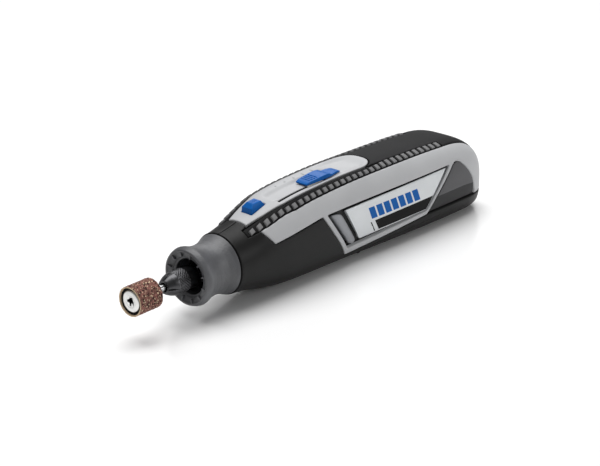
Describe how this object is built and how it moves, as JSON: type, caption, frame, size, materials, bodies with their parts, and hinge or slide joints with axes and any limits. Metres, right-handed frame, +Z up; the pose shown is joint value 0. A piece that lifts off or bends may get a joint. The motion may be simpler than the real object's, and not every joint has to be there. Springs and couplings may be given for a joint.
{
  "type": "rotary hobby tool",
  "caption": "Cordless pen-shaped rotary tool with a sliding speed switch, spindle lock button, screw-off nose cap and a sanding drum held in its collet.",
  "frame": {"origin": "middle of the flat underside that the tool lies on, half way along its whole length with the sanding drum fitted", "axes": "+Y from the nose to the rear along the spindle, +Z up through the control panel, +X to the right seen from behind"},
  "size_m": [0.039, 0.225, 0.0442],
  "materials": {
    "black_nylon": "fine moulded texture, semi-gloss",
    "grey_nylon": "fine moulded texture, satin",
    "soft_grip": "soft-touch moulded",
    "dark_inlay": "satin moulded",
    "cap_nylon": "glass-filled nylon, grainy",
    "blue_plastic": "satin moulded",
    "satin_silver": "satin silver lacquer",
    "black_oxide": "black oxide, oiled",
    "steel": "ground and polished",
    "spring_steel": "drawn wire",
    "drum_rubber": "moulded rubber",
    "abrasive": "aluminium oxide grit on cloth-backed paper",
    "copper_windings": "enamelled copper on steel laminations",
    "nickel": "nickel strip",
    "cell_wrap": "shrink sleeve over a steel cell",
    "board_green": "glass-fibre board, green resist",
    "white_nylon": "moulded nylon",
    "clear_lens": "clear acrylic"
  },
  "bodies": {
    "housing": {"housing_left": "black_nylon", "housing_right": "black_nylon", "control_panel": "grey_nylon", "grip_strip_left": "soft_grip", "grip_strip_right": "soft_grip", "rear_grip": "soft_grip", "side_panel_left": "grey_nylon", "side_panel_right": "grey_nylon", "rear_inlay_left": "dark_inlay", "rear_inlay_right": "dark_inlay", "badge_plate_left": "satin_silver", "badge_plate_right": "satin_silver", "vent_vane_left": "satin_silver", "vent_vane_right": "satin_silver", "vent_screen_left": "black_oxide", "vent_screen_right": "black_oxide", "nose_collar": "black_nylon", "front_bearing": "steel", "rear_bearing": "steel", "bearing_bush": "soft_grip", "motor_can": "steel", "motor_magnet_ring": "black_oxide", "motor_end_bell": "white_nylon", "battery_cell": "cell_wrap", "battery_tab_front": "nickel", "battery_tab_rear": "nickel", "circuit_board": "board_green", "speed_switch_block": "white_nylon", "charging_socket": "steel", "charge_light_lens": "clear_lens", "spring_seat": "black_nylon", "lock_spring": "spring_steel", "housing_screw_1": "black_oxide", "housing_screw_2": "black_oxide", "housing_screw_3": "black_oxide", "housing_screw_4": "black_oxide"},
    "rotor": {"spindle_shaft": "steel", "collet": "steel", "cooling_fan": "white_nylon", "drive_coupling": "white_nylon", "motor_rotor": "copper_windings"},
    "collet_nut": {"collet_nut": "black_oxide"},
    "accessory": {"mandrel": "steel", "rubber_drum": "drum_rubber", "drum_washer": "steel"},
    "drum_screw": {"drum_screw": "steel"},
    "sanding_band": {"sanding_band": "abrasive"},
    "nose_cap": {"nose_cap": "cap_nylon"},
    "lock": {"lock_button": "blue_plastic", "lock_pin": "steel"},
    "slider": {"speed_slider": "blue_plastic", "slider_carriage": "white_nylon"}
  },
  "joints": [
    {"name": "spindle_spin", "type": "hinge", "parent": "housing", "child": "rotor", "pos_m": [0, -0.0591, 0.0192], "axis": [0, 1, 0], "continuous": true},
    {"name": "collet_nut_turn", "type": "hinge", "parent": "rotor", "child": "collet_nut", "pos_m": [0, -0.0845, 0.0192], "axis": [0, -1, 0], "range_deg": [0, 540]},
    {"name": "accessory_pull", "type": "slide", "parent": "rotor", "child": "accessory", "axis": [0, -1, 0], "range_m": [0, 0.03]},
    {"name": "drum_screw_turn", "type": "hinge", "parent": "accessory", "child": "drum_screw", "pos_m": [0, -0.1115, 0.0192], "axis": [0, -1, 0], "range_deg": [0, 720]},
    {"name": "band_pull", "type": "slide", "parent": "accessory", "child": "sanding_band", "axis": [0, -1, 0], "range_m": [0, 0.016]},
    {"name": "nose_cap_turn", "type": "hinge", "parent": "housing", "child": "nose_cap", "pos_m": [0, -0.0695, 0.0192], "axis": [0, -1, 0], "range_deg": [0, 1080]},
    {"name": "lock_press", "type": "slide", "parent": "housing", "child": "lock", "axis": [0, 0, -1], "range_m": [0, 0.002], "stiffness_N_per_m": 600, "springref_m": -0.002, "deforming": ["lock_spring"]},
    {"name": "speed_slide", "type": "slide", "parent": "housing", "child": "slider", "axis": [0, -1, 0], "range_m": [0, 0.0175]}
  ]
}
